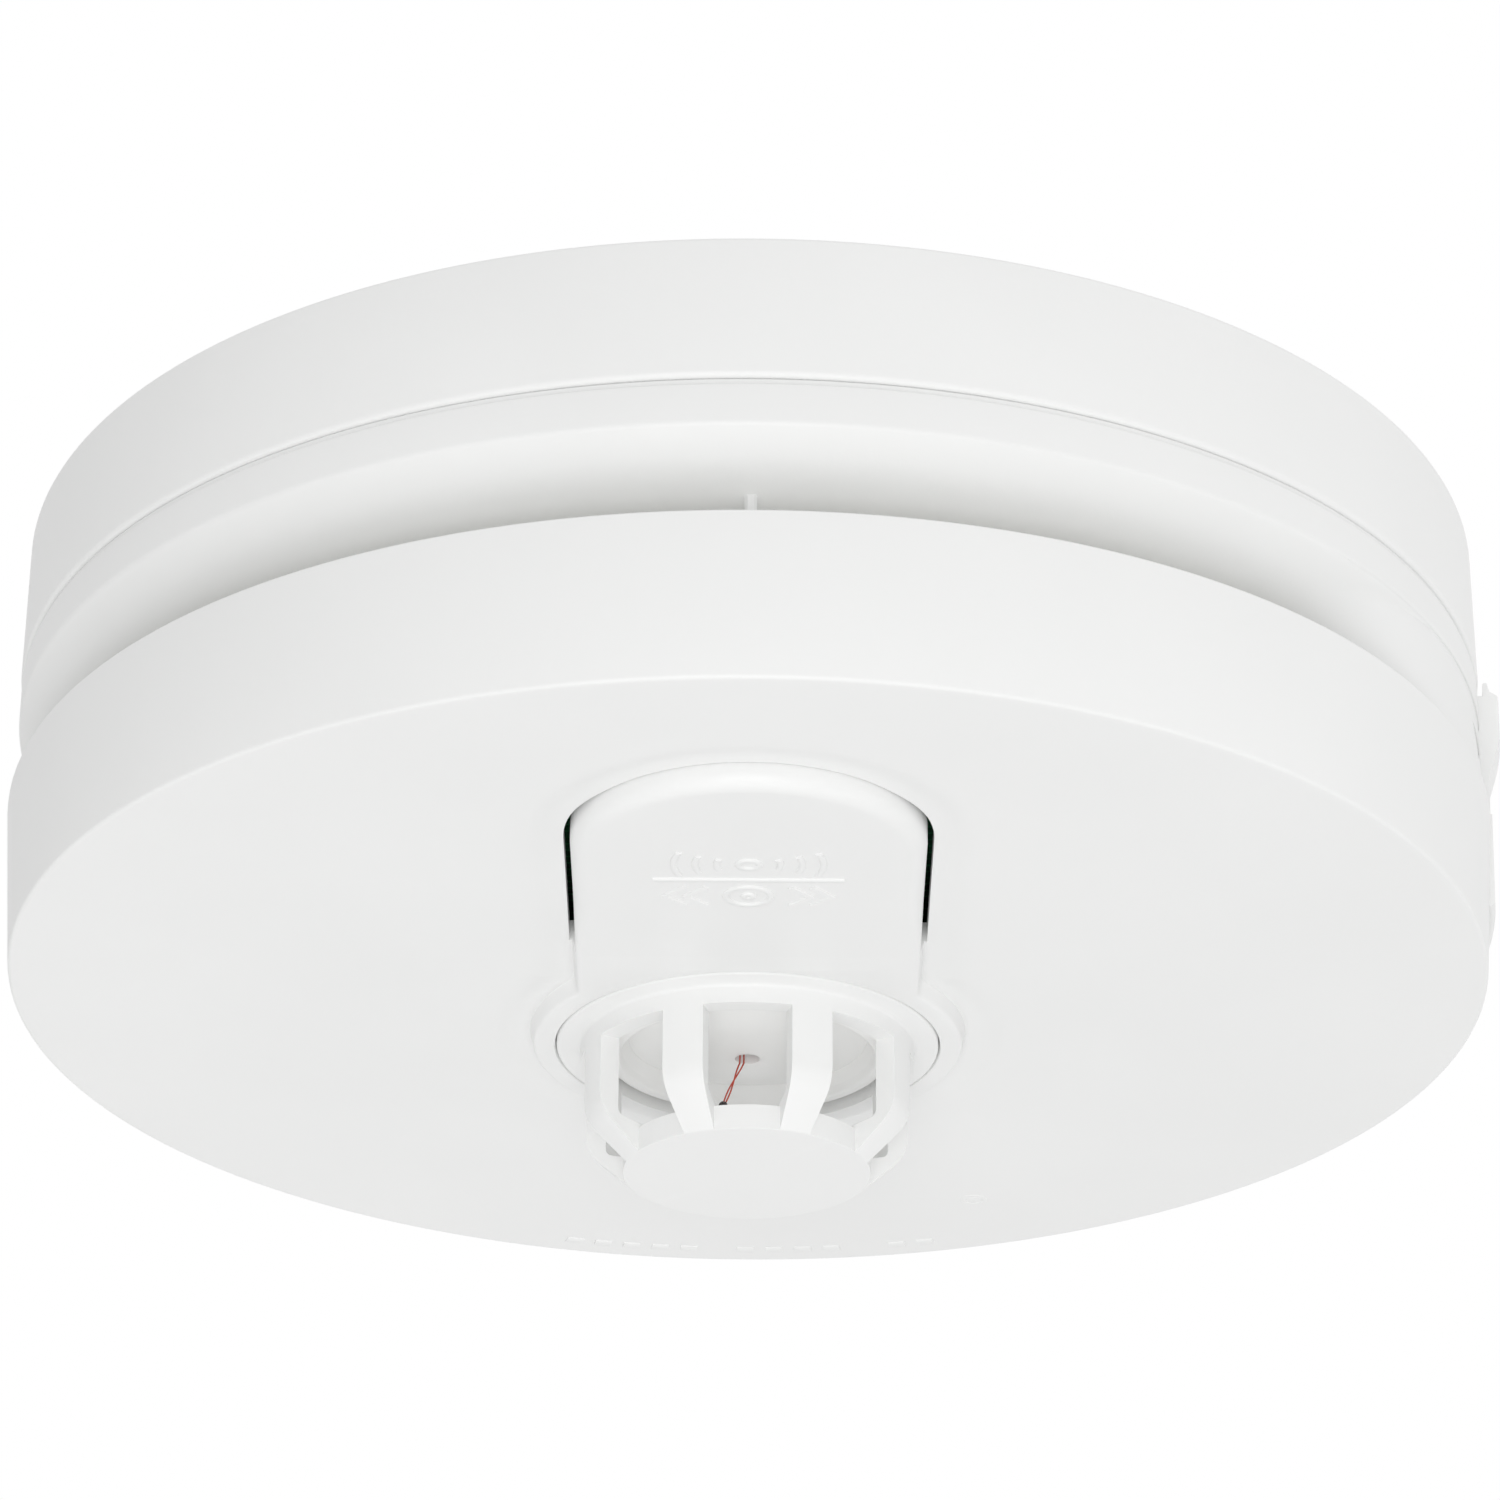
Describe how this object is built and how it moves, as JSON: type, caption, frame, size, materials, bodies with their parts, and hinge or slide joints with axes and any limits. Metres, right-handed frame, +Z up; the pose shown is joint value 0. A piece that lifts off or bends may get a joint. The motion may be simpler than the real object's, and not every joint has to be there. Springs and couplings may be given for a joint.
{
  "type": "ceiling heat alarm",
  "caption": "Round ceiling-mounted heat alarm: slide-on head with air channel, sprung test button and thermistor cage, on a screw-fixed base with plug-in mains terminals.",
  "frame": {"origin": "centre of the mounting base's flat ceiling face", "axes": "+Z up into the ceiling, so the alarm hangs towards -Z; +X towards the release catch; -Y towards the round end of the test button"},
  "size_m": [0.1185, 0.1174, 0.0474],
  "materials": {
    "housing_white": "fine moulded satin",
    "inner_plastic": "satin",
    "dark_plastic": "satin",
    "brass_contact": "plated",
    "steel": "zinc plated",
    "board_green": "solder mask",
    "lead_red": "insulated lead",
    "bead_black": "epoxy",
    "component_blue": "dipped",
    "component_orange": "dipped",
    "clear_plastic": "clear"
  },
  "bodies": {
    "base": {"mounting_base": "housing_white", "terminal_block": "inner_plastic", "socket_contacts": "brass_contact", "terminal_screws": "steel"},
    "catch": {"release_catch": "housing_white"},
    "head": {"back_cover": "inner_plastic", "contact_holder": "inner_plastic", "contact_blades": "brass_contact", "upper_housing": "housing_white", "inner_chassis": "inner_plastic", "front_cover": "housing_white", "housing_screws": "steel", "board_screws": "steel", "circuit_board": "board_green", "sensor_cage": "housing_white", "sensor_dome": "housing_white", "thermistor_leads": "lead_red", "thermistor_bead": "bead_black", "sounder_housing": "dark_plastic", "piezo_disc": "brass_contact", "backup_cells": "steel", "cell_tabs": "steel", "film_capacitor": "component_blue", "smoothing_capacitor": "component_blue", "fuse": "steel", "varistor": "component_orange", "resistors": "component_orange", "rectifier_diodes": "dark_plastic", "microcontroller": "dark_plastic", "indicator_led": "clear_plastic", "light_pipe": "clear_plastic", "test_switch": "dark_plastic"},
    "button": {"test_button": "housing_white"},
    "plunger": {"switch_plunger": "dark_plastic"}
  },
  "joints": [
    {"name": "head_slide", "type": "slide", "parent": "base", "child": "head", "axis": [-1, 0, 0], "range_m": [0, 0.012]},
    {"name": "catch_lift", "type": "hinge", "parent": "base", "child": "catch", "pos_m": [0.038, 0, -0.0046], "axis": [0, -1, 0], "range_deg": [0, 2], "stiffness_Nm_per_rad": 1.5},
    {"name": "button_press", "type": "hinge", "parent": "head", "child": "button", "pos_m": [0, -0.011, -0.0354], "axis": [-1, 0, 0], "range_deg": [0, 2], "stiffness_Nm_per_rad": 1.9},
    {"name": "plunger_press", "type": "slide", "parent": "head", "child": "plunger", "axis": [0, 0, 1], "range_m": [0, 0.0009]}
  ],
  "couplings": [
    {"joint": "plunger_press", "follows": "button_press", "m_per_rad": 0.025}
  ]
}
